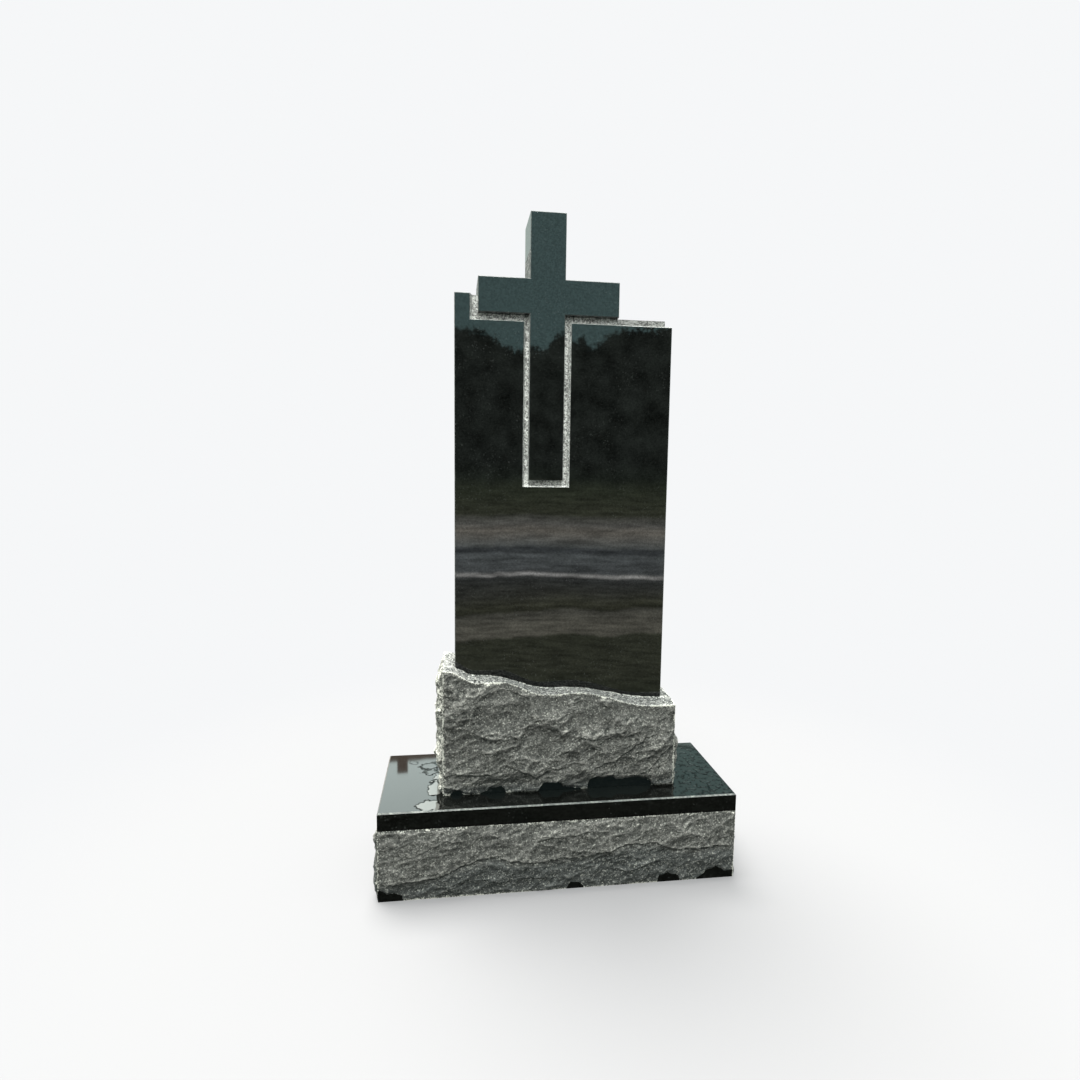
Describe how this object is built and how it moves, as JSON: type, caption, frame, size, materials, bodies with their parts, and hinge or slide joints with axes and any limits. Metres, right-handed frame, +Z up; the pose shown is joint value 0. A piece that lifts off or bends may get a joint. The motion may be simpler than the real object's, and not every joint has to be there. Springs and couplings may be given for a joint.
{
  "type": "cross headstone",
  "caption": "Polished black granite headstone with a standing cross outlined in its face, on a rough-struck foot and a base with struck sides.",
  "frame": {"origin": "middle of the base's underside, on the ground", "axes": "+Z up, the polished face with the cross looks towards -Y, and +X is to the right of someone facing it"},
  "size_m": [0.928, 0.348, 1.666],
  "materials": {
    "granite_headstone": "mirror-polished slab and cross, tooled grey groove and ledge, rough-struck foot",
    "granite_base": "polished top and margin, rough-struck sides"
  },
  "bodies": {
    "root": {"base": "granite_base", "headstone": "granite_headstone"}
  },
  "joints": []
}
